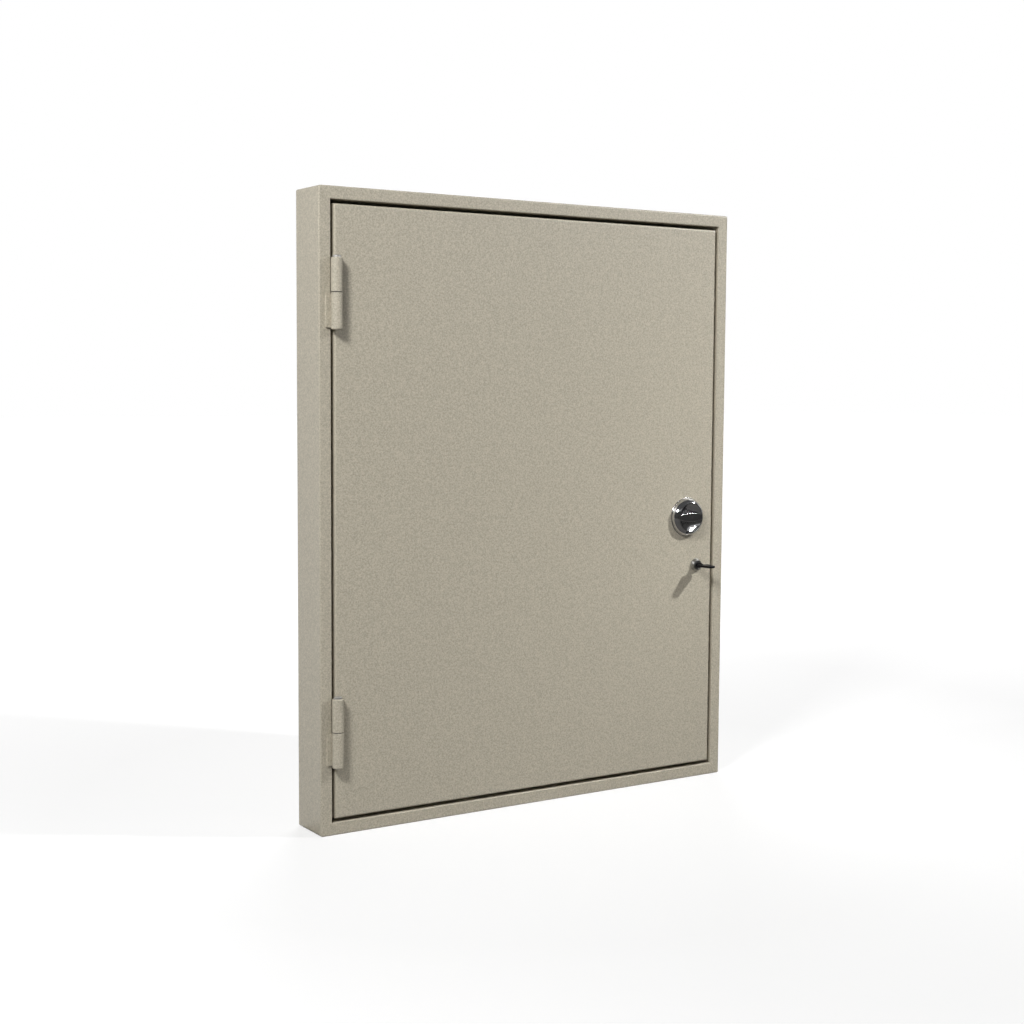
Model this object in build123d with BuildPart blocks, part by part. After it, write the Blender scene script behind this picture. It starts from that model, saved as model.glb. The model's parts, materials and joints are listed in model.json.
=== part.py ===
# Steel shaft door: flush sheet-steel leaf in a folded box frame, with two lift-off
# hinges, a round turn handle and a keyed cylinder lock. Units are millimetres.
# +X is right seen from the front, +Y runs into the wall, +Z is up. The rear flanges lie
# on y = 0 and the origin is on the sill's outer rear flange, at mid-width.
import os

from build123d import *

os.makedirs("parts", exist_ok=True)

# Frame profile, folded from one sheet and mitred at the corners
frame_width = 640.0
frame_height = 800.0
frame_depth = 64.0
frame_sheet = 1.5
frame_bend = 2.0
lip_bend = 1.2
face_width = 16.0
reveal_depth = 48.0
stop_width = 32.0
outer_flange = 16.0
inner_flange = 19.0
corner_radius = 4.0

# Gaps between the leaf's edges and the reveal
hinge_gap = 5.0
head_gap = 5.0
latch_gap = 5.0
sill_gap = 5.0

# Leaf, a folded front tray closed by a flat back cover. The latch edge slopes inward to the
# back, so that the leaf's rear corner swings clear of the frame.
leaf_thickness = 43.0
leaf_sheet = 1.5
leaf_bend = 2.3
leaf_lip = 14.0
cover_inset = 1.0
latch_bevel = 2.3

# Seal strips on the stop face
seal_width = 9.0
seal_setback = 1.0
seal_base = 1.6
seal_clearance = 0.3

# Wall fixings in the jambs: a hole in the rear flange, an access hole in the stop
fixing_hole = 9.0
access_hole = 10.0
fixing_inset = 8.5
fixing_spacing = 560.0

# Lift-off hinges, placed from the leaf's hinge edge and mid-height
barrel_radius = 7.3
barrel_clearance = 1.0
barrel_end_edge = 1.5
barrel_joint_edge = 0.5
hinge_offset = 1.0
hinge_spacing = 540.0
hinge_raise = 2.0
frame_knuckle_length = 44.5
leaf_knuckle_length = 41.5
washer_thickness = 1.0
washer_radius = 6.7
pin_radius = 5.3
pin_clearance = 0.05
pin_seat_depth = 38.0
pin_rise = 2.6
pin_edge = 0.8
wing_reach = 11.2
wing_thickness = 2.5
wing_setback = 2.5

# Turn handle, placed from the leaf's latch edge and mid-height
handle_backset = 46.0
handle_drop = 24.0
rose_radius = 27.7
rose_height = 1.6
rose_edge = 0.8
grip_base_radius = 27.0
grip_lean = 10.0
grip_rim_radius = 20.7
grip_rim_height = 11.0
grip_rim_land = 1.2
grip_crown_height = 12.8
dish_floor = 5.2
bar_middle = 13.0
bar_end = 7.0
bar_edge = 1.3
hub_radius = 9.0
turn_clearance = 0.3
spindle_side = 8.0
spindle_length = 34.0
spindle_seat = 6.0

# Key lock below the handle
lock_backset = 28.0
lock_drop = 69.0
collar_radius = 9.0
collar_front_radius = 7.2
collar_height = 5.5
collar_land = 1.2
collar_edge = 0.5
lock_barrel_radius = 7.5
lock_barrel_length = 24.0
plug_radius = 5.5
plug_recess = 0.5
plug_length = 23.0
plug_clearance = 0.05
blade_width = 8.4
blade_thickness = 1.8
blade_depth = 20.0
blade_clearance = 0.1
key_face_clearance = 0.3
key_neck_radius = 3.8
key_neck_straight = 4.0
key_neck_length = 8.0
key_neck_blend = 5.0
key_head_length = 24.0
key_head_width = 20.0
key_tip_width = 11.0
key_head_thickness = 3.2
key_head_edge = 0.9
key_corner = 3.0
key_tang = 18.0
key_tang_width = 5.0
key_hole_radius = 2.4
key_hole_setback = 5.0
key_seat_clearance = 0.05

# Lock case in the leaf's latch edge
forend_width = 22.0
forend_height = 150.0
forend_thickness = 2.5
forend_clearance = 0.25
case_length = 58.0
case_height = 126.0
case_thickness = 17.0
case_sheet = 1.5
bolt_clearance = 0.2
bolt_thickness = 11.0
latch_height = 17.0
latch_length = 26.0
dead_height = 28.0
dead_length = 14.0
bolt_edge = 0.4
bore_clearance = 0.4
keeper_margin = 3.0

# Planes and places worked out from the sizes above
front = -frame_depth
half_width = frame_width / 2
middle_z = frame_height / 2 - outer_flange / 2
frame_middle = Vector(0, 0, middle_z)
stop_y = front + reveal_depth
profile_width = face_width + stop_width
leaf_left = -half_width + face_width + hinge_gap
leaf_right = half_width - face_width - latch_gap
leaf_bottom = middle_z - frame_height / 2 + face_width + sill_gap
leaf_top = middle_z + frame_height / 2 - face_width - head_gap
leaf_height = leaf_top - leaf_bottom
leaf_middle_z = (leaf_bottom + leaf_top) / 2
leaf_back = front + leaf_thickness
tray_back = leaf_back - leaf_sheet
back_right = leaf_right - latch_bevel
back_middle_x = (leaf_left + back_right) / 2
hinge_x = leaf_left - hinge_offset
hinge_y = front - barrel_clearance - barrel_radius
handle_x = leaf_right - handle_backset
handle_z = leaf_middle_z - handle_drop
lock_x = leaf_right - lock_backset
lock_z = handle_z - lock_drop
key_face = collar_height + key_face_clearance
key_shoulder = key_face + key_neck_length
forend_z = (handle_z + lock_z) / 2

# The sloped latch edge: local x runs from the leaf's front to its back, local y is up
latch_slope = Vector(-latch_bevel, leaf_thickness, 0)
latch_plane = Plane(
    origin=(leaf_right, front, 0), x_dir=latch_slope, z_dir=latch_slope.cross(Vector(0, 0, 1))
)
latch_middle = latch_slope.length / 2
bolt_y = front + leaf_thickness / 2
bolt_face_x = leaf_right - latch_bevel / 2
case_y = bolt_y - case_thickness / 2

# Each member: the middle of its outer edge, the way inward from it, and its length
frame_members = {
    "frame_hinge_jamb": (Vector(-half_width, 0, middle_z), Vector(1, 0, 0), frame_height),
    "frame_latch_jamb": (Vector(half_width, 0, middle_z), Vector(-1, 0, 0), frame_height),
    "frame_head": (Vector(0, 0, middle_z + frame_height / 2), Vector(0, 0, -1), frame_width),
    "frame_sill": (Vector(0, 0, middle_z - frame_height / 2), Vector(0, 0, 1), frame_width),
}


def save(part, name):
    part.label = name
    export_step(part, f"parts/{name}.step")


def section_plane(edge, inward):
    """The plane across a frame member: local x runs inward, local y into the wall."""
    return Plane(origin=edge, x_dir=inward, z_dir=inward.cross(Vector(0, 1, 0)))


def facing_plane(x, y, z):
    """A plane seen from the front: local x is right, local y is up, its normal points out."""
    return Plane(origin=(x, y, z), x_dir=(1, 0, 0), z_dir=(0, -1, 0))


def turning_plane(x, z):
    """The half section of a turned piece on the leaf: local x is radial, local y points out."""
    return Plane(origin=(x, front, z), x_dir=(1, 0, 0), z_dir=(0, 0, -1))


def turning_axis(x, z):
    return Axis((x, front, z), (0, -1, 0))


# Frame members
for name, (edge, inward, length) in frame_members.items():
    with BuildPart() as member:
        with BuildSketch(section_plane(edge, inward)) as profile:
            with BuildLine():
                Polyline(
                    (0, 0),
                    (0, front),
                    (face_width, front),
                    (face_width, stop_y),
                    (profile_width, stop_y),
                    (profile_width, 0),
                    close=True,
                )
            make_face()
            fillet(profile.vertices().sort_by_distance((face_width, front))[1:], radius=frame_bend)
            fillet(profile.vertices().sort_by_distance((face_width, front))[0], radius=lip_bend)
            offset(amount=-frame_sheet, mode=Mode.SUBTRACT)
            throat = profile_width - outer_flange - inner_flange
            with Locations((outer_flange + throat / 2, 0)):
                Rectangle(throat, 4 * frame_sheet, mode=Mode.SUBTRACT)
        extrude(amount=length / 2, both=True)
        # 45 degree mitres and the rounded outer corners of the frame
        with BuildSketch(facing_plane(0, 0, middle_z)):
            RectangleRounded(frame_width, frame_height, corner_radius)
            along = Vector(0, 1, 0).cross(inward)
            ends = [edge - frame_middle + along * (side * length / 2) for side in (1, -1)]
            reach = 2 * profile_width
            deep = [end + (inward - along * side) * reach for end, side in zip(ends, (1, -1))]
            corners = [ends[0], ends[1], deep[1], deep[0]]
            with BuildLine():
                Polyline(*[(c.X, c.Z) for c in corners], close=True)
            make_face(mode=Mode.INTERSECT)
        extrude(amount=2 * frame_depth, both=True, mode=Mode.INTERSECT)
        if name.endswith("jamb"):
            fixing_x = edge.X + inward.X * (profile_width - fixing_inset)
            fixing_points = [
                (fixing_x, middle_z + fixing_spacing / 2),
                (fixing_x, middle_z - fixing_spacing / 2),
            ]
            with BuildSketch(facing_plane(0, 0, 0)):
                with Locations(*fixing_points):
                    Circle(fixing_hole / 2)
            extrude(amount=2 * frame_sheet, both=True, mode=Mode.SUBTRACT)
            with BuildSketch(facing_plane(0, stop_y, 0)):
                with Locations(*fixing_points):
                    Circle(access_hole / 2)
            extrude(amount=2 * frame_sheet, both=True, mode=Mode.SUBTRACT)
        if name == "frame_latch_jamb":
            # Keeper slots punched in the reveal for the latch and the dead bolt
            with BuildSketch(Plane.YZ.offset(half_width - face_width)):
                with Locations((bolt_y, handle_z)):
                    Rectangle(bolt_thickness + 2 * keeper_margin, latch_height + 2 * keeper_margin)
                with Locations((bolt_y, lock_z)):
                    Rectangle(bolt_thickness + 2 * keeper_margin, dead_height + 2 * keeper_margin)
            extrude(amount=2 * frame_sheet, both=True, mode=Mode.SUBTRACT)
    save(member.part, name)

# Seal strips, a flat base with a soft crown that the leaf closes against
seal_height = stop_y - leaf_back - seal_clearance
leaf_edge = max(hinge_gap, head_gap, sill_gap, latch_gap + latch_bevel)
seal_start = face_width + leaf_edge + cover_inset + seal_setback
seal_insets = {
    "seal_hinge_side": ("frame_hinge_jamb", seal_start),
    "seal_latch_side": ("frame_latch_jamb", seal_start),
    "seal_head": ("frame_head", seal_start + seal_width + seal_clearance),
    "seal_sill": ("frame_sill", seal_start + seal_width + seal_clearance),
}
for name, (member_name, end_inset) in seal_insets.items():
    edge, inward, length = frame_members[member_name]
    with BuildPart() as seal:
        with BuildSketch(section_plane(edge + inward * seal_start, inward)):
            with BuildLine():
                Polyline(
                    (0, stop_y - seal_base),
                    (0, stop_y),
                    (seal_width, stop_y),
                    (seal_width, stop_y - seal_base),
                )
                ThreePointArc(
                    (seal_width, stop_y - seal_base),
                    (seal_width / 2, stop_y - seal_height),
                    (0, stop_y - seal_base),
                )
            make_face()
        extrude(amount=length / 2 - end_inset, both=True)
    save(seal.part, name)

# Leaf front tray
with BuildPart() as leaf_tray:
    with BuildSketch(Plane.XY.offset(leaf_bottom)):
        with BuildLine():
            Polyline(
                (leaf_left, front),
                (leaf_right, front),
                (back_right, leaf_back),
                (leaf_left, leaf_back),
                close=True,
            )
        make_face()
    extrude(amount=leaf_height)
    split(bisect_by=Plane.XZ.offset(-tray_back), keep=Keep.TOP)
    fillet(leaf_tray.faces().sort_by(Axis.Y)[0].edges(), radius=leaf_bend)
    offset(amount=-leaf_sheet, mode=Mode.SUBTRACT)
    # The open back inside the folded lips
    with BuildSketch(facing_plane(back_middle_x, leaf_back, leaf_middle_z)):
        Rectangle(back_right - leaf_left - 2 * leaf_lip, leaf_height - 2 * leaf_lip)
    extrude(amount=4 * leaf_sheet, both=True, mode=Mode.SUBTRACT)
    # Holes behind the handle and for the lock barrel
    with BuildSketch(facing_plane(0, front, 0)):
        with Locations((handle_x, handle_z)):
            Circle(hub_radius + turn_clearance)
        with Locations((lock_x, lock_z)):
            Circle(lock_barrel_radius + bore_clearance)
    extrude(amount=2 * leaf_sheet, both=True, mode=Mode.SUBTRACT)
    # Cut-out for the lock's forend in the latch edge
    with BuildSketch(latch_plane):
        with Locations((latch_middle, forend_z)):
            Rectangle(forend_width + 2 * forend_clearance, forend_height + 2 * forend_clearance)
    extrude(amount=2 * leaf_sheet, both=True, mode=Mode.SUBTRACT)
save(leaf_tray.part, "leaf_front_tray")

# Leaf back cover, seated on the tray's lips
with BuildPart() as leaf_cover:
    with BuildSketch(facing_plane(back_middle_x, leaf_back, leaf_middle_z)):
        cover_width = back_right - leaf_left - 2 * cover_inset
        RectangleRounded(cover_width, leaf_height - 2 * cover_inset, leaf_bend)
    extrude(amount=leaf_sheet)
save(leaf_cover.part, "leaf_back_cover")


def add_knuckle(side, start_z, length):
    """Adds a hinge barrel, rounder at its free end, with a flat wing on the face at one side."""
    with BuildSketch(Plane.XY.offset(start_z)) as circle:
        with Locations((hinge_x, hinge_y)):
            Circle(barrel_radius)
    barrel = extrude(circle.sketch, amount=length)
    for rim, radius in ((side, barrel_end_edge), (-side, barrel_joint_edge)):
        rims = barrel.edges().filter_by(GeomType.CIRCLE).sort_by(Axis.Z, reverse=rim > 0)
        barrel = fillet(rims[0], radius=radius)
    with BuildSketch(Plane.XY.offset(start_z + wing_setback)) as wing:
        with Locations((hinge_x + side * wing_reach / 2, front - wing_thickness / 2)):
            Rectangle(wing_reach, wing_thickness)
    extrude(wing.sketch, amount=length - 2 * wing_setback)


def add_pin_bore(start_z, depth):
    """Cuts the bore for the hinge pin, downward from a height."""
    with BuildSketch(Plane.XY.offset(start_z)) as bore:
        with Locations((hinge_x, hinge_y)):
            Circle(pin_radius + pin_clearance)
    extrude(bore.sketch, amount=-depth, mode=Mode.SUBTRACT)


# Hinges: the lower knuckle is welded to the frame, the upper one to the leaf
for place, rise in (("upper", hinge_spacing / 2), ("lower", -hinge_spacing / 2)):
    seat_z = leaf_middle_z + hinge_raise + rise - washer_thickness / 2
    lift_z = seat_z + washer_thickness
    top_z = lift_z + leaf_knuckle_length

    with BuildPart() as frame_knuckle:
        add_knuckle(-1, seat_z - frame_knuckle_length, frame_knuckle_length)
        add_pin_bore(seat_z, pin_seat_depth)
    save(frame_knuckle.part, f"{place}_hinge_frame_knuckle")

    with BuildPart() as leaf_knuckle:
        add_knuckle(1, lift_z, leaf_knuckle_length)
        add_pin_bore(top_z, leaf_knuckle_length)
    save(leaf_knuckle.part, f"{place}_hinge_leaf_knuckle")

    with BuildPart() as hinge_pin:
        with BuildSketch(Plane.XY.offset(seat_z - pin_seat_depth)):
            with Locations((hinge_x, hinge_y)):
                Circle(pin_radius)
        extrude(amount=top_z + pin_rise - seat_z + pin_seat_depth)
        chamfer(hinge_pin.edges().filter_by(GeomType.CIRCLE), length=pin_edge)
    save(hinge_pin.part, f"{place}_hinge_pin")

    with BuildPart() as washer:
        with BuildSketch(Plane.XY.offset(seat_z)):
            with Locations((hinge_x, hinge_y)):
                Circle(washer_radius)
                Circle(pin_radius + pin_clearance, mode=Mode.SUBTRACT)
        extrude(amount=washer_thickness)
    save(washer.part, f"{place}_hinge_washer")

# Handle rose, fixed to the leaf
with BuildPart() as rose:
    with BuildSketch(turning_plane(handle_x, handle_z)) as half_section:
        with BuildLine():
            Polyline(
                (hub_radius + turn_clearance, 0),
                (rose_radius, 0),
                (rose_radius, rose_height),
                (hub_radius + turn_clearance, rose_height),
                close=True,
            )
        make_face()
        fillet(half_section.vertices().group_by(Axis.X)[-1].sort_by(Axis.Y)[-1], radius=rose_edge)
    revolve(axis=turning_axis(handle_x, handle_z))
save(rose.part, "handle_rose")

# Grip bar of the turn handle, lens-shaped and trimmed to the crown
grip_start = rose_height + turn_clearance
with BuildPart() as grip_bar:
    with BuildSketch(facing_plane(handle_x, front - grip_start, handle_z)):
        with BuildLine():
            ThreePointArc(
                (-grip_rim_radius, bar_end / 2), (0, bar_middle / 2), (grip_rim_radius, bar_end / 2)
            )
            Line((grip_rim_radius, bar_end / 2), (grip_rim_radius, -bar_end / 2))
            ThreePointArc(
                (grip_rim_radius, -bar_end / 2), (0, -bar_middle / 2), (-grip_rim_radius, -bar_end / 2)
            )
            Line((-grip_rim_radius, -bar_end / 2), (-grip_rim_radius, bar_end / 2))
        make_face()
    extrude(amount=2 * grip_crown_height)
    with BuildSketch(turning_plane(handle_x, handle_z)):
        bar_reach = grip_rim_radius - grip_rim_land / 2
        with BuildLine():
            Polyline(
                (0, grip_crown_height),
                (0, grip_start),
                (bar_reach, grip_start),
                (bar_reach, grip_rim_height),
            )
            TangentArc((0, grip_crown_height), (bar_reach, grip_rim_height), tangent=(1, 0))
        make_face()
    revolve(axis=turning_axis(handle_x, handle_z), mode=Mode.INTERSECT)
    crown_edges = grip_bar.faces().sort_by(Axis.Y)[0].edges().sort_by(SortBy.LENGTH)
    fillet(crown_edges[-2:], radius=bar_edge)

# Turn grip: a dished round knob with the bar across it and a hub through the rose
with BuildPart() as turn_grip:
    with BuildSketch(turning_plane(handle_x, handle_z)):
        with BuildLine():
            Polyline(
                (0, dish_floor),
                (0, turn_clearance),
                (hub_radius, turn_clearance),
                (hub_radius, grip_start),
                (grip_base_radius, grip_start),
            )
            TangentArc(
                (grip_base_radius, grip_start),
                (grip_rim_radius, grip_rim_height),
                tangent=Vector(0, 1).rotate(Axis.Z, grip_lean),
            )
            Line((grip_rim_radius, grip_rim_height), (grip_rim_radius - grip_rim_land, grip_rim_height))
            TangentArc(
                (0, dish_floor),
                (grip_rim_radius - grip_rim_land, grip_rim_height),
                tangent=(1, 0),
            )
        make_face()
    revolve(axis=turning_axis(handle_x, handle_z))
    add(grip_bar.part)
    with BuildSketch(facing_plane(handle_x, front, handle_z)):
        Rectangle(spindle_side, spindle_side)
    extrude(amount=spindle_seat - turn_clearance, both=True, mode=Mode.SUBTRACT)
save(turn_grip.part, "turn_grip")

# Square spindle from the grip into the lock case
with BuildPart() as spindle:
    with BuildSketch(facing_plane(handle_x, front - spindle_seat + turn_clearance, handle_z)):
        Rectangle(spindle_side, spindle_side)
    extrude(amount=-spindle_length)
save(spindle.part, "handle_spindle")

# Lock cylinder, a barrel through the front sheet with a conical collar on it
with BuildPart() as cylinder:
    with BuildSketch(turning_plane(lock_x, lock_z)) as half_section:
        with BuildLine():
            Polyline(
                (plug_radius + plug_clearance, collar_height),
                (plug_radius + plug_clearance, -lock_barrel_length),
                (lock_barrel_radius, -lock_barrel_length),
                (lock_barrel_radius, 0),
                (collar_radius, 0),
                (collar_radius, collar_land),
                (collar_front_radius, collar_height),
                close=True,
            )
        make_face()
        outer_corners = half_section.vertices().filter_by(
            lambda corner: corner.Y > 0 and corner.X > plug_radius + plug_clearance
        )
        fillet(outer_corners, radius=collar_edge)
    revolve(axis=turning_axis(lock_x, lock_z))
save(cylinder.part, "lock_cylinder")

# Lock plug, with a level keyway
with BuildPart() as plug:
    with BuildSketch(facing_plane(lock_x, front - collar_height + plug_recess, lock_z)):
        Circle(plug_radius)
    extrude(amount=-plug_length)
    with BuildSketch(facing_plane(lock_x, front, lock_z)):
        Rectangle(blade_width + 2 * blade_clearance, blade_thickness + 2 * blade_clearance)
    extrude(amount=blade_depth + blade_clearance, both=True, mode=Mode.SUBTRACT)
save(plug.part, "lock_plug")

# Key blade, flat and level, from the end of the keyway to its tang in the head
with BuildPart() as key_blade:
    with BuildSketch(Plane.XY.offset(lock_z)) as outline:
        with Locations((lock_x, front + (blade_depth - key_face) / 2)):
            Rectangle(blade_width, blade_depth + key_face)
        chamfer(outline.vertices().group_by(Axis.Y)[-1], length=blade_width / 3)
        with Locations((lock_x, front - key_face - key_tang / 2)):
            Rectangle(key_tang_width, key_tang)
    extrude(amount=blade_thickness / 2, both=True)
save(key_blade.part, "key_blade")

# Key head, a tapered bow with a ring hole and a round neck, moulded round the tang
with BuildPart() as key_head:
    with BuildSketch(Plane(origin=(lock_x, front - key_shoulder, lock_z))) as bow:
        with BuildLine():
            Polyline(
                (-key_head_width / 2, 0),
                (-key_tip_width / 2, -key_head_length),
                (key_tip_width / 2, -key_head_length),
                (key_head_width / 2, 0),
                close=True,
            )
        make_face()
        fillet(bow.vertices(), radius=key_corner)
        with Locations((0, -key_head_length + key_hole_setback)):
            Circle(key_hole_radius, mode=Mode.SUBTRACT)
    extrude(amount=key_head_thickness / 2, both=True)
    outer_rims = key_head.edges().group_by(Axis.Z)
    fillet(outer_rims[0] + outer_rims[-1], radius=key_head_edge)
    with BuildSketch(turning_plane(lock_x, lock_z)):
        with BuildLine():
            Polyline(
                (0, key_face),
                (key_neck_radius, key_face),
                (key_neck_radius, key_face + key_neck_straight),
                (key_head_thickness / 2, key_shoulder + key_neck_blend),
                (0, key_shoulder + key_neck_blend),
                close=True,
            )
        make_face()
    revolve(axis=turning_axis(lock_x, lock_z))
    with BuildSketch(facing_plane(lock_x, front - key_face, lock_z)):
        Rectangle(
            key_tang_width + 2 * key_seat_clearance, blade_thickness + 2 * key_seat_clearance
        )
    extrude(amount=key_tang + key_seat_clearance, mode=Mode.SUBTRACT)
save(key_head.part, "key_head")

# Lock case: forend plate in the latch edge, open-backed case, and the two withdrawn bolts
bolts = {
    "latch_bolt": (handle_z, latch_height, latch_length),
    "dead_bolt": (lock_z, dead_height, dead_length),
}


def cut_bolt_openings(wall):
    """Cuts the bolts' openings inward from the latch edge, through a wall of some thickness."""
    with BuildSketch(Plane.YZ.offset(leaf_right)) as openings:
        for bolt_z, bolt_height, _ in bolts.values():
            with Locations((bolt_y, bolt_z)):
                Rectangle(bolt_thickness + 2 * bolt_clearance, bolt_height + 2 * bolt_clearance)
    extrude(openings.sketch, amount=-latch_bevel - wall, mode=Mode.SUBTRACT)


with BuildPart() as forend:
    with BuildSketch(latch_plane):
        with Locations((latch_middle, forend_z)):
            Rectangle(forend_width, forend_height)
    extrude(amount=-forend_thickness)
    cut_bolt_openings(forend_thickness)
save(forend.part, "lock_forend")

with BuildPart() as case:
    with BuildSketch(facing_plane(leaf_right - case_length / 2, case_y, forend_z)):
        Rectangle(case_length, case_height)
    extrude(amount=-case_thickness)
    split(bisect_by=latch_plane.offset(-forend_thickness), keep=Keep.BOTTOM)
    offset(amount=-case_sheet, openings=case.faces().sort_by(Axis.Y)[-1])
    cut_bolt_openings(forend_thickness + case_sheet)
    with BuildSketch(facing_plane(0, case_y, 0)):
        with Locations((handle_x, handle_z)):
            Circle(hub_radius)
        with Locations((lock_x, lock_z)):
            Circle(lock_barrel_radius + bore_clearance)
    extrude(amount=2 * case_sheet, both=True, mode=Mode.SUBTRACT)
save(case.part, "lock_case")

for name, (bolt_z, bolt_height, bolt_length) in bolts.items():
    with BuildPart() as bolt:
        with BuildSketch(Plane.YZ.offset(bolt_face_x)):
            with Locations((bolt_y, bolt_z)):
                Rectangle(bolt_thickness, bolt_height)
        extrude(amount=-bolt_length)
        chamfer(bolt.faces().sort_by(Axis.X)[-1].edges(), length=bolt_edge)
    save(bolt.part, name)
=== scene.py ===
import json
import math

import bmesh
import bpy
from mathutils import Matrix, Vector


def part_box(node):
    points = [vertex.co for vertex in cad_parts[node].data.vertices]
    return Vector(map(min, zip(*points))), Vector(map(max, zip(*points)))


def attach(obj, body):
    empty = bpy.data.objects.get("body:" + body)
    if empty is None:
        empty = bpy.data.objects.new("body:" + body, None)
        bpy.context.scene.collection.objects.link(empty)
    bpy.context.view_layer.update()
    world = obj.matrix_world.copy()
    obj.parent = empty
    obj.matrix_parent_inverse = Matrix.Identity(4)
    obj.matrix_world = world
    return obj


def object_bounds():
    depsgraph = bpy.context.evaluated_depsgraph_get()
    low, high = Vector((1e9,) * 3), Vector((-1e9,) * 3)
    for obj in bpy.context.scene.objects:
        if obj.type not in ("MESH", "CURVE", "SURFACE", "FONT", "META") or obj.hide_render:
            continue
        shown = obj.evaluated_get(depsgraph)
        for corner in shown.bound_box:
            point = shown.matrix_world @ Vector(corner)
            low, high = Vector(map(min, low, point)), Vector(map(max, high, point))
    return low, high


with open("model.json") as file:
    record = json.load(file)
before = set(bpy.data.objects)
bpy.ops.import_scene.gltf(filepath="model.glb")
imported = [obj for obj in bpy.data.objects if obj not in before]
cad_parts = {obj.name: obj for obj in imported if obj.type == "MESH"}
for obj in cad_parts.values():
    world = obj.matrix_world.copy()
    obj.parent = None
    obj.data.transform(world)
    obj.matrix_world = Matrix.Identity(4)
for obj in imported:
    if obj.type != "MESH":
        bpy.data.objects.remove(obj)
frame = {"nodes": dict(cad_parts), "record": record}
cad_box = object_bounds()
nodes = frame["nodes"]
MM = 0.001

# Camera, fitted to the frame's corners in the photograph, which is 1024 pixels square
PHOTO_PIXELS = 1024
FOCAL_PIXELS = 1610
SENSOR_MM = 36.0
CAMERA_YAW = -32.91
CAMERA_TILT = -4.72
CAMERA_ROLL = 0.36
CAMERA_FROM_FRONT = Vector((-1.1862, -1.7702, 0.1685))

# Finishes, as linear colours
PAINT = (0.434, 0.396, 0.314, 1.0)
CHROME = (0.56, 0.56, 0.57, 1.0)
STEEL = (0.55, 0.54, 0.52, 1.0)
PLATED = (0.38, 0.38, 0.37, 1.0)
NICKEL = (0.55, 0.53, 0.48, 1.0)
NYLON = (0.03, 0.028, 0.026, 1.0)
RUBBER = (0.018, 0.018, 0.019, 1.0)
BLACK_PLASTIC = (0.007, 0.007, 0.008, 1.0)
SCREEN_GREY = (0.10, 0.097, 0.093, 1.0)
FLOOR_GREY = (0.36, 0.36, 0.36, 1.0)

# Light: a lamp near the lock, one near the hinges, a broad fill on the hinge side and a lamp
# behind. Each level is the share of the written colour that the lamp gives the front, or the
# back, where it points.
AMBIENT = 0.06
LOCK_LEVEL = 0.56
HINGE_LEVEL = 0.65
FILL_LEVEL = 0.08
BACK_LEVEL = 0.45
STRIP_RADIANCE = 36.0
LOCK_FROM = Vector((0.955, -1.0, 1.13))
HINGE_FROM = Vector((-1.24, -1.0, 1.0))
FILL_FROM = Vector((-0.9, -1.0, 0.0))
BACK_FROM = Vector((0.6, 1.0, 0.7))
LAMP_DISTANCE = 2.0
LOCK_SIZE = 0.06
HINGE_SIZE = 0.45
FILL_SIZE = 1.2
BACK_SIZE = 1.0
STRIP_LENGTH = 2.0
STRIP_WIDTH = 0.08
LOCK_SPREAD = math.radians(52)
FULL_SPREAD = math.pi

# A dark screen round the front, by its angles seen from above
SCREEN_START = -178
SCREEN_END = -2
SCREEN_STEPS = 24
SCREEN_REACH = 2.4
SCREEN_TOP = 1.5
MAT_START = 0.03

# Floor and surround: how the floor's own glow rises away from the door, and how high up the
# surround turns dark
FLOOR_REACH = 20.0
GLOW_START = 0.6
GLOW_END = 2.6
GLOW_NEAR = 0.60
SKY_START = 0.28
SKY_END = 0.6
SKY_TOP = 0.1

# Small pieces that the solids leave out
BEAD_RADIUS = 0.8 * MM
BEAD_RIPPLE = 2.4 * MM
BEAD_SETBACK = 3.0 * MM
RIVET_RADIUS = 3.2 * MM
RIVET_HEIGHT = 1.0 * MM
RIVET_INSET = 7.0 * MM
RIVET_SPACING = 105.0 * MM
SCREW_RADIUS = 3.6 * MM
SCREW_RECESS = 1.2 * MM
SCREW_INSET = 9.0 * MM
LATCH_SLOPE = 2.3 / 43.0


def new_material(name, color, metallic, roughness):
    material = bpy.data.materials.new(name)
    material.use_nodes = True
    shader = material.node_tree.nodes["Principled BSDF"]
    shader.inputs["Base Color"].default_value = color
    shader.inputs["Metallic"].default_value = metallic
    shader.inputs["Roughness"].default_value = roughness
    return material, material.node_tree, shader


def add_noise(tree, scale, detail, stretch=(1, 1, 1)):
    """A noise texture in the object's own coordinates, in metres."""
    coordinates = tree.nodes.new("ShaderNodeTexCoord")
    mapping = tree.nodes.new("ShaderNodeMapping")
    mapping.inputs["Scale"].default_value = stretch
    noise = tree.nodes.new("ShaderNodeTexNoise")
    noise.inputs["Scale"].default_value = scale
    noise.inputs["Detail"].default_value = detail
    tree.links.new(coordinates.outputs["Object"], mapping.inputs["Vector"])
    tree.links.new(mapping.outputs["Vector"], noise.inputs["Vector"])
    return noise.outputs["Fac"]


def map_range(tree, value, start, end, low, high):
    """Maps a value from the range start to end onto the range low to high."""
    ramp = tree.nodes.new("ShaderNodeMapRange")
    ramp.inputs["From Min"].default_value = start
    ramp.inputs["From Max"].default_value = end
    ramp.inputs["To Min"].default_value = low
    ramp.inputs["To Max"].default_value = high
    tree.links.new(value, ramp.inputs["Value"])
    return ramp.outputs["Result"]


def spread(tree, noise, low, high):
    """Maps the middle of a noise to the range from low to high."""
    return map_range(tree, noise, 0.3, 0.7, low, high)


def multiply(tree, first, second):
    """The product of two values, where either may be a plain number."""
    math_node = tree.nodes.new("ShaderNodeMath")
    math_node.operation = "MULTIPLY"
    for value, socket in ((first, math_node.inputs[0]), (second, math_node.inputs[1])):
        if isinstance(value, float):
            socket.default_value = value
        else:
            tree.links.new(value, socket)
    return math_node.outputs["Value"]


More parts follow.
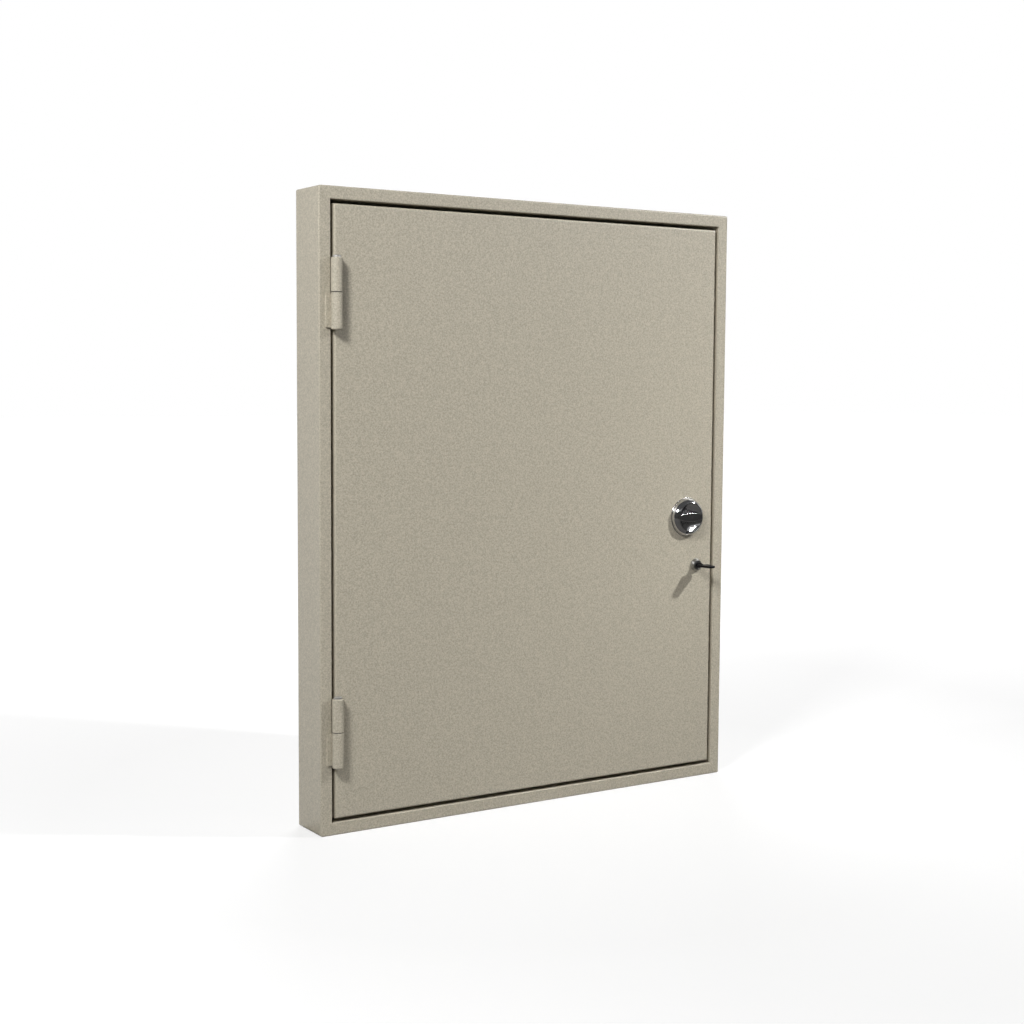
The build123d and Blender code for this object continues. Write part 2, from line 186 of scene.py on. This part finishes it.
def shade_color(tree, shader, color, grey):
    """Multiplies the base colour by a grey value."""
    mix = tree.nodes.new("ShaderNodeMix")
    mix.data_type = "RGBA"
    mix.blend_type = "MULTIPLY"
    mix.inputs["Factor"].default_value = 1.0
    mix.inputs["A"].default_value = color
    tree.links.new(grey, mix.inputs["B"])
    tree.links.new(mix.outputs["Result"], shader.inputs["Base Color"])


def add_bump(tree, shader, height, strength, distance):
    bump = tree.nodes.new("ShaderNodeBump")
    bump.inputs["Strength"].default_value = strength
    bump.inputs["Distance"].default_value = distance
    tree.links.new(height, bump.inputs["Height"])
    tree.links.new(bump.outputs["Normal"], shader.inputs["Normal"])


def paint_material():
    """Powder coat: a mottled speckle at two scales, over a fine orange-peel relief."""
    material, tree, shader = new_material("door_paint", PAINT, 0.0, 0.5)
    mottle = add_noise(tree, 520.0, 2.0)
    grain = add_noise(tree, 1100.0, 2.0)
    grey = multiply(tree, spread(tree, mottle, 0.81, 1.19), spread(tree, grain, 0.89, 1.11))
    shade_color(tree, shader, PAINT, grey)
    tree.links.new(spread(tree, grain, 0.36, 0.50), shader.inputs["Roughness"])
    add_bump(tree, shader, mottle, 0.3, 0.3 * MM)
    return material


def metal_material(name, color, low, high, scale, stretch=(1, 1, 1)):
    """A metal whose gloss varies a little along its grain."""
    material, tree, shader = new_material(name, color, 1.0, (low + high) / 2)
    grain = add_noise(tree, scale, 4.0, stretch)
    tree.links.new(spread(tree, grain, low, high), shader.inputs["Roughness"])
    return material


def dark_material(name, color, low, high, scale, relief, specular=0.5):
    """Rubber or moulded plastic with a fine grained surface."""
    material, tree, shader = new_material(name, color, 0.0, (low + high) / 2)
    shader.inputs["Specular IOR Level"].default_value = specular
    grain = add_noise(tree, scale, 4.0)
    tree.links.new(spread(tree, grain, low, high), shader.inputs["Roughness"])
    add_bump(tree, shader, grain, 0.3, relief)
    return material


materials = {
    "door_paint": paint_material(),
    "chrome": metal_material("chrome", CHROME, 0.06, 0.12, 300.0),
    "pin_steel": metal_material("pin_steel", STEEL, 0.42, 0.55, 500.0),
    "lock_steel": metal_material("lock_steel", PLATED, 0.24, 0.38, 300.0, (1, 1, 8)),
    "washer_nylon": dark_material("washer_nylon", NYLON, 0.5, 0.65, 900.0, 0.1 * MM),
    "key_steel": metal_material("key_steel", NICKEL, 0.18, 0.30, 500.0),
    "key_plastic": dark_material("key_plastic", BLACK_PLASTIC, 0.40, 0.55, 1500.0, 0.1 * MM, 0.12),
    "seal_rubber": dark_material("seal_rubber", RUBBER, 0.6, 0.75, 900.0, 0.2 * MM),
}
for row in frame["record"]["subparts"]:
    node = nodes[row["node"]]
    node.data.materials.clear()
    node.data.materials.append(materials[row["material_slot"]])


def add_piece(name, mesh, body, slot):
    """Makes an object of a mesh, which rides on a body and takes a slot's finish."""
    bmesh.ops.recalc_face_normals(mesh, faces=mesh.faces)
    data = bpy.data.meshes.new(name)
    mesh.to_mesh(data)
    mesh.free()
    data.materials.append(materials[slot])
    piece = bpy.data.objects.new(name, data)
    bpy.context.scene.collection.objects.link(piece)
    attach(piece, body)
    return piece


def turned_dome(mesh, place, outward, profile, segments=24):
    """Adds a turned piece: rings of (radius, height) about an axis, closed at both ends."""
    turn = outward.to_track_quat("Z", "Y").to_matrix()
    rings = []
    for radius, height in profile:
        ring = []
        for step in range(segments):
            angle = 2 * math.pi * step / segments
            local = Vector((radius * math.cos(angle), radius * math.sin(angle), height))
            ring.append(mesh.verts.new(place + turn @ local))
        rings.append(ring)
    for lower, upper in zip(rings, rings[1:]):
        for step in range(segments):
            after = (step + 1) % segments
            face = mesh.faces.new((lower[step], lower[after], upper[after], upper[step]))
            face.smooth = True
    mesh.faces.new(rings[0][::-1])
    mesh.faces.new(rings[-1])


def weld_bead(name, knuckle, side, body):
    """A rippled weld in the corner between a hinge wing's edge and the face behind it."""
    low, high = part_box(knuckle)
    edge_x = high[0] if side > 0 else low[0]
    face_y = high[1]
    start, end = low[2] + BEAD_SETBACK, high[2] - BEAD_SETBACK
    steps = round((end - start) / BEAD_RIPPLE) * 8
    round_steps = 8
    mesh = bmesh.new()
    sections = []
    for step in range(steps + 1):
        share = step / steps
        taper = math.sqrt(max(0.0, 1 - (2 * share - 1) ** 16))
        ripple = 1 + 0.1 * math.sin(math.pi * step / 4)
        radius = BEAD_RADIUS * (0.25 + 0.75 * taper) * ripple
        z = start + (end - start) * share
        section = []
        for turn in range(round_steps):
            angle = 2 * math.pi * turn / round_steps
            x = edge_x + radius * math.cos(angle)
            y = face_y - 0.2 * BEAD_RADIUS + radius * math.sin(angle)
            section.append(mesh.verts.new((x, min(y, face_y + BEAD_RADIUS / 3), z)))
        sections.append(section)
    for lower, upper in zip(sections, sections[1:]):
        for turn in range(round_steps):
            after = (turn + 1) % round_steps
            face = mesh.faces.new((lower[turn], lower[after], upper[after], upper[turn]))
            face.smooth = True
    mesh.faces.new(sections[0][::-1])
    mesh.faces.new(sections[-1])
    add_piece(name, mesh, body, "door_paint")


for place in ("upper", "lower"):
    weld_bead(f"{place}_hinge_frame_weld", f"{place}_hinge_frame_knuckle", -1, "frame")
    weld_bead(f"{place}_hinge_leaf_weld", f"{place}_hinge_leaf_knuckle", 1, "leaf")


def back_rivets():
    """Blind rivets round the back cover, in line with the lips that it lies on."""
    low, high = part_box("leaf_back_cover")
    left, right = low[0] + RIVET_INSET, high[0] - RIVET_INSET
    bottom, top = low[2] + RIVET_INSET, high[2] - RIVET_INSET
    columns = round((right - left) / RIVET_SPACING)
    rows = round((top - bottom) / RIVET_SPACING)
    places = []
    for column in range(columns + 1):
        x = left + (right - left) * column / columns
        places += [(x, bottom), (x, top)]
    for row in range(1, rows):
        z = bottom + (top - bottom) * row / rows
        places += [(left, z), (right, z)]
    dome = [
        (RIVET_RADIUS, -0.2 * RIVET_HEIGHT),
        (RIVET_RADIUS, 0.25 * RIVET_HEIGHT),
        (0.85 * RIVET_RADIUS, 0.7 * RIVET_HEIGHT),
        (0.6 * RIVET_RADIUS, 0.95 * RIVET_HEIGHT),
        (0.36 * RIVET_RADIUS, RIVET_HEIGHT),
        (0.32 * RIVET_RADIUS, 0.5 * RIVET_HEIGHT),
    ]
    mesh = bmesh.new()
    for x, z in places:
        turned_dome(mesh, Vector((x, high[1], z)), Vector((0, 1, 0)), dome, 20)
    add_piece("back_cover_rivets", mesh, "leaf", "door_paint")


back_rivets()


def cross_screw(mesh, place, outward):
    """Adds a flat screw head with a cross recess, seated in a plate."""
    turn = outward.to_track_quat("Z", "Y").to_matrix()
    rim = [
        Vector((SCREW_RADIUS * math.cos(angle), SCREW_RADIUS * math.sin(angle), 0))
        for angle in (2 * math.pi * step / 32 for step in range(32))
    ]
    arm, half = 0.58 * SCREW_RADIUS, 0.14 * SCREW_RADIUS
    corners = ((half, arm), (half, half), (arm, half))
    cross = []
    for quarter in range(4):
        spin = Matrix.Rotation(-math.pi / 2 * quarter, 3, "Z")
        cross += [spin @ Vector((x, y, 0)) for x, y in corners]

    def loop(points, depth):
        verts = [mesh.verts.new(place + turn @ (p + Vector((0, 0, -depth)))) for p in points]
        edges = [mesh.edges.new((a, b)) for a, b in zip(verts, verts[1:] + verts[:1])]
        return verts, edges

    def wall(upper, lower):
        for index in range(len(upper)):
            after = (index + 1) % len(upper)
            mesh.faces.new((upper[index], upper[after], lower[after], lower[index]))

    rim_verts, rim_edges = loop(rim, 0.0)
    cross_verts, cross_edges = loop(cross, 0.0)
    bmesh.ops.triangle_fill(mesh, use_beauty=True, edges=rim_edges + cross_edges)
    inner_verts, _ = loop([0.8 * p for p in cross], SCREW_RECESS)
    wall(cross_verts, inner_verts)
    mesh.faces.new(inner_verts)
    foot_verts, _ = loop([0.7 * p for p in rim], 1.5 * SCREW_RECESS)
    wall(rim_verts, foot_verts)
    mesh.faces.new(foot_verts)


def forend_screws():
    low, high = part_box("lock_forend")
    outward = Vector((1, LATCH_SLOPE, 0)).normalized()
    middle_y = (low[1] + high[1]) / 2
    face_x = high[0] - LATCH_SLOPE * (high[1] - low[1]) / 2
    mesh = bmesh.new()
    for z in (low[2] + SCREW_INSET, high[2] - SCREW_INSET):
        cross_screw(mesh, Vector((face_x, middle_y, z)) + outward * 0.1 * MM, outward)
    add_piece("forend_screws", mesh, "leaf", "lock_steel")


forend_screws()

# Floor, lights and a white surround
floor_z = cad_box[0][2]
middle = Vector((0.0, 0.0, (cad_box[0][2] + cad_box[1][2]) / 2))


def flat_sheet(name, corners, material):
    """A stage sheet through four corners."""
    data = bpy.data.meshes.new(name)
    data.from_pydata(corners, [], [(0, 1, 2, 3)])
    data.materials.append(material)
    sheet = bpy.data.objects.new(name, data)
    bpy.context.scene.collection.objects.link(sheet)
    return sheet


def background_rays(tree):
    """1 for the rays that show the background: camera, mirror and glass rays."""
    path = tree.nodes.new("ShaderNodeLightPath")
    total = path.outputs["Is Camera Ray"]
    for name in ("Is Glossy Ray", "Is Transmission Ray"):
        largest = tree.nodes.new("ShaderNodeMath")
        largest.operation = "MAXIMUM"
        tree.links.new(total, largest.inputs[0])
        tree.links.new(path.outputs[name], largest.inputs[1])
        total = largest.outputs["Value"]
    return total


def floor_material():
    """Pale floor that turns white away from the door, where it meets the white surround."""
    material, tree, shader = new_material("floor", FLOOR_GREY, 0.0, 0.9)
    shader.inputs["Emission Color"].default_value = (1.0, 1.0, 1.0, 1.0)
    coordinates = tree.nodes.new("ShaderNodeTexCoord")
    length = tree.nodes.new("ShaderNodeVectorMath")
    length.operation = "LENGTH"
    tree.links.new(coordinates.outputs["Object"], length.inputs[0])
    glow = map_range(tree, length.outputs["Value"], GLOW_START, GLOW_END, GLOW_NEAR, 1.0)
    tree.links.new(multiply(tree, glow, background_rays(tree)), shader.inputs["Emission Strength"])
    return material


flat_sheet(
    "floor",
    [
        (-FLOOR_REACH, -FLOOR_REACH, floor_z),
        (FLOOR_REACH, -FLOOR_REACH, floor_z),
        (FLOOR_REACH, FLOOR_REACH, floor_z),
        (-FLOOR_REACH, FLOOR_REACH, floor_z),
    ],
    floor_material(),
)


def dark_screen():
    """A dark curved screen and mat in front of the door, which only show in polished metal."""
    material, _, _ = new_material("screen", SCREEN_GREY, 0.0, 1.0)
    corners = []
    for step in range(SCREEN_STEPS + 1):
        angle = math.radians(SCREEN_START + (SCREEN_END - SCREEN_START) * step / SCREEN_STEPS)
        x, y = SCREEN_REACH * math.cos(angle), SCREEN_REACH * math.sin(angle)
        corners.append((MAT_START * x, MAT_START * y, floor_z + MM))
        corners += [(x, y, floor_z + MM), (x, y, SCREEN_TOP)]
    faces = []
    for step in range(SCREEN_STEPS):
        for side in (0, 1):
            first = 3 * step + side
            faces.append((first, first + 1, first + 4, first + 3))
    data = bpy.data.meshes.new("screen")
    data.from_pydata(corners, [], faces)
    data.materials.append(material)
    screen = bpy.data.objects.new("screen", data)
    bpy.context.scene.collection.objects.link(screen)
    screen.visible_camera = False
    screen.visible_diffuse = False
    screen.visible_shadow = False


dark_screen()


def white_world():
    """Even dim light on the object; a surround that is white, and dark only high up."""
    world = bpy.data.worlds.new("surround")
    bpy.context.scene.world = world
    world.use_nodes = True
    tree = world.node_tree
    background = tree.nodes["Background"]
    background.inputs["Color"].default_value = (1.0, 1.0, 1.0, 1.0)
    coordinates = tree.nodes.new("ShaderNodeTexCoord")
    split = tree.nodes.new("ShaderNodeSeparateXYZ")
    tree.links.new(coordinates.outputs["Generated"], split.inputs["Vector"])
    height = map_range(tree, split.outputs["Z"], SKY_START, SKY_END, 1.0, SKY_TOP)
    level = tree.nodes.new("ShaderNodeMapRange")
    level.inputs["To Min"].default_value = AMBIENT
    tree.links.new(height, level.inputs["To Max"])
    tree.links.new(background_rays(tree), level.inputs["Value"])
    tree.links.new(level.outputs["Result"], background.inputs["Strength"])


white_world()


def soft_light(name, node, direction, size, level, cone=FULL_SPREAD):
    """A square lamp that faces a node and gives the front or the back there a level of light."""
    low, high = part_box(node)
    target = (Vector(low) + Vector(high)) / 2
    toward = direction.normalized()
    lamp = bpy.data.lights.new(name, "AREA")
    lamp.size = size
    lamp.spread = cone
    narrowing = 1 - cone / 2 / math.tan(cone / 2) if cone < FULL_SPREAD else 1
    lamp.energy = narrowing * level * (math.pi * LAMP_DISTANCE) ** 2 / abs(toward.y)
    light = bpy.data.objects.new(name, lamp)
    light.location = target + toward * LAMP_DISTANCE
    light.rotation_euler = (-toward).to_track_quat("-Z", "Y").to_euler()
    bpy.context.scene.collection.objects.link(light)
    return light


soft_light("lock_light", "lock_cylinder", LOCK_FROM, LOCK_SIZE, LOCK_LEVEL, LOCK_SPREAD)
soft_light("hinge_light", "upper_hinge_leaf_knuckle", HINGE_FROM, HINGE_SIZE, HINGE_LEVEL)
fill_light = soft_light("fill_light", "frame_hinge_jamb", FILL_FROM, FILL_SIZE, FILL_LEVEL)
fill_light.visible_glossy = False
soft_light("back_light", "leaf_back_cover", BACK_FROM, BACK_SIZE, BACK_LEVEL)

# A long strip over the lock lamp, which only shows as thin lines in polished metal
strip_light = soft_light("strip_light", "handle_rose", LOCK_FROM, STRIP_LENGTH, 1.0)
strip_light.data.shape = "RECTANGLE"
strip_light.data.size_y = STRIP_WIDTH
strip_light.data.energy = STRIP_RADIANCE * math.pi * STRIP_LENGTH * STRIP_WIDTH
strip_light.visible_diffuse = False

camera_data = bpy.data.cameras.new("camera")
camera_data.sensor_width = SENSOR_MM
camera_data.lens = SENSOR_MM * FOCAL_PIXELS / PHOTO_PIXELS
camera = bpy.data.objects.new("camera", camera_data)
front_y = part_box("frame_sill")[0][1]
camera_place = Vector((0.0, front_y, middle.z)) + CAMERA_FROM_FRONT
camera.matrix_world = (
    Matrix.Translation(camera_place)
    @ Matrix.Rotation(math.radians(CAMERA_YAW), 4, "Z")
    @ Matrix.Rotation(math.radians(90 + CAMERA_TILT), 4, "X")
    @ Matrix.Rotation(math.radians(CAMERA_ROLL), 4, "Z")
)
bpy.context.scene.collection.objects.link(camera)
bpy.context.scene.camera = camera
bpy.context.scene.view_settings.view_transform = "Standard"
